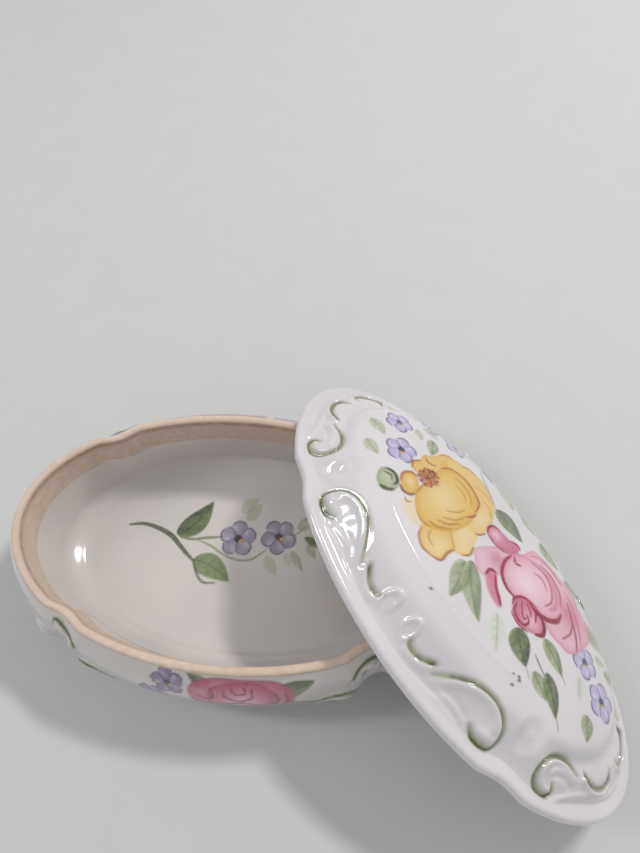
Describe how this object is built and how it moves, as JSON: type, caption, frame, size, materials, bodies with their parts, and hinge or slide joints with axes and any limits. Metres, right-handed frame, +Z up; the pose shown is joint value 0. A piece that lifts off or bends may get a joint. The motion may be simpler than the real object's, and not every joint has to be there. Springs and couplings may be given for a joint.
{
  "type": "porcelain trinket box",
  "caption": "Oval porcelain trinket box with fluted, swelling walls, an unglazed rim and a domed lid with raised scrolls and painted flowers, left leaning on the box.",
  "frame": {"origin": "middle of the flat underside of the body, on the table", "axes": "+X along the box towards the end that the lid leans on, +Z up out of the mouth"},
  "size_m": [0.2113, 0.1323, 0.0577],
  "materials": {
    "body_porcelain": "clear glaze with painted flowers; bare pinkish rim and seat",
    "lid_porcelain": "high-gloss clear glaze with painted roses and green-washed scrolls"
  },
  "bodies": {
    "body": {"body": "body_porcelain"},
    "lid": {"lid": "lid_porcelain"}
  },
  "joints": [
    {"name": "lid_lift", "type": "slide", "parent": "body", "child": "lid", "axis": [0, 0, 1], "range_m": [0, 0.12]}
  ]
}
